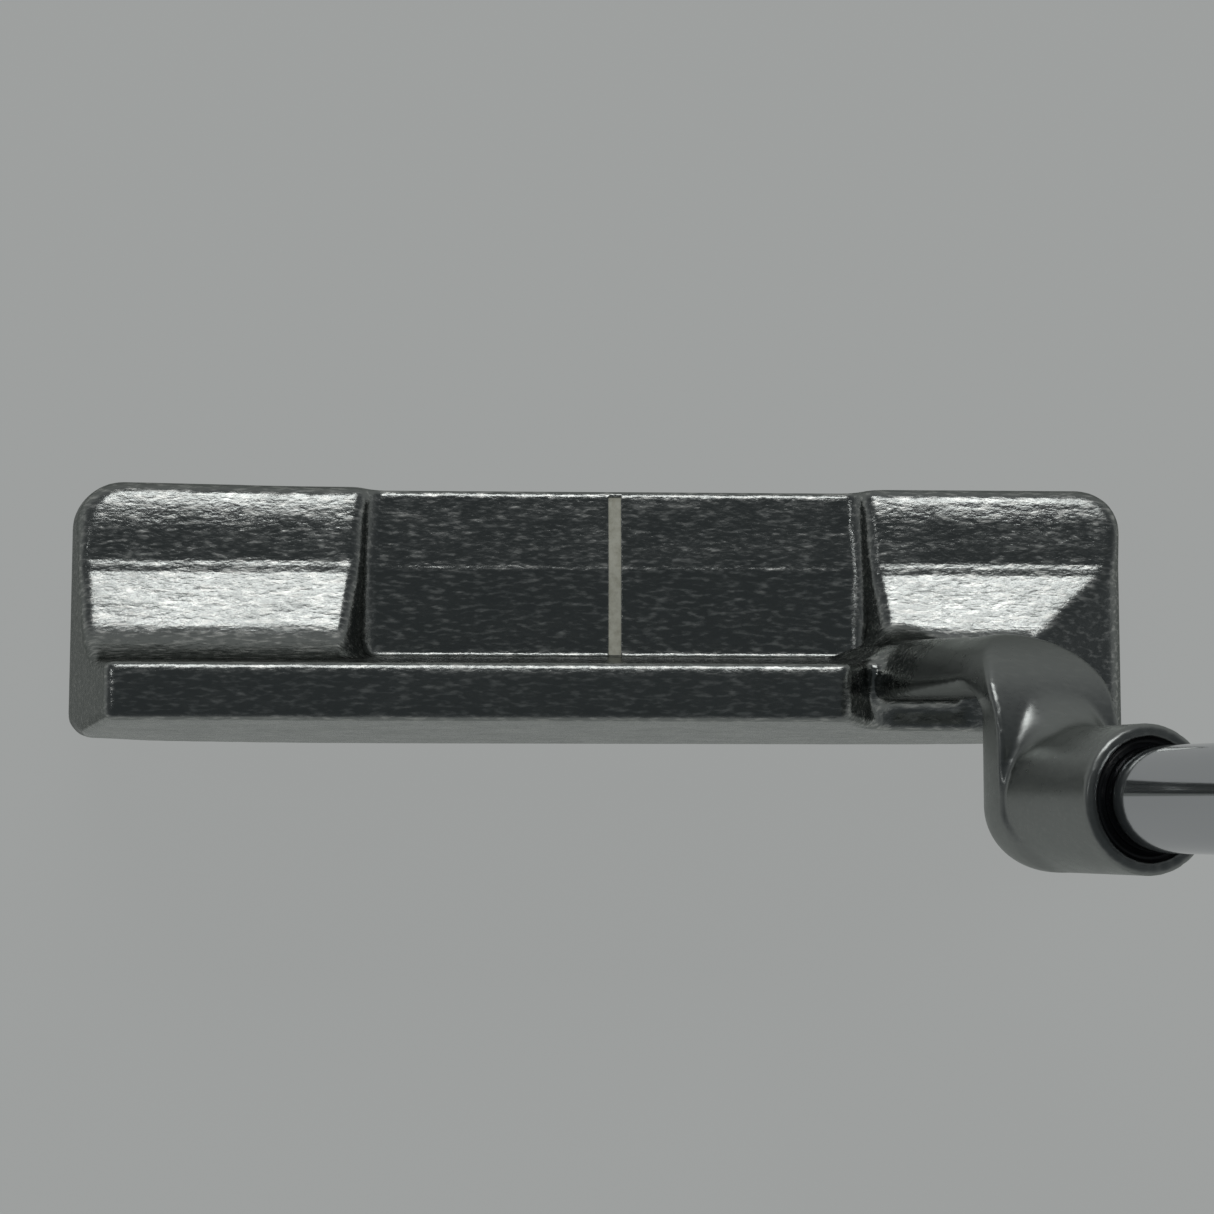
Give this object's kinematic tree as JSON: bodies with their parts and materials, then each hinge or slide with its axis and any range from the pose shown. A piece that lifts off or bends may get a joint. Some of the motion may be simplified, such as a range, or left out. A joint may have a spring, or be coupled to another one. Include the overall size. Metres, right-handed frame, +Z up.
{
  "type": "blade putter",
  "caption": "Right-handed blade putter: heel-toe weighted cast head with an offset neck, stepped steel shaft and pistol grip.",
  "frame": {"origin": "on the flat of the sole, under the sight line, 14 mm behind the leading edge", "axes": "+X from toe to heel, +Y from the face to the rear, +Z up from the ground with the putter at address"},
  "size_m": [0.4007, 0.0481, 0.8412],
  "materials": {
    "cast_steel": "tumbled cast stainless steel, satin grey with fine scratches",
    "line_paint": "cream enamel fill, worn",
    "adhesive": "black epoxy",
    "shaft_chrome": "polished chrome plate on steel tube",
    "tape": "double-sided masking tape",
    "grip_rubber": "moulded natural rubber, matte",
    "cap_rubber": "smooth moulded rubber"
  },
  "bodies": {
    "root": {"head": "cast_steel", "sight_line": "line_paint", "socket_adhesive": "adhesive", "shaft": "shaft_chrome", "grip_tape": "tape", "grip": "grip_rubber", "grip_cap": "cap_rubber"}
  },
  "joints": []
}
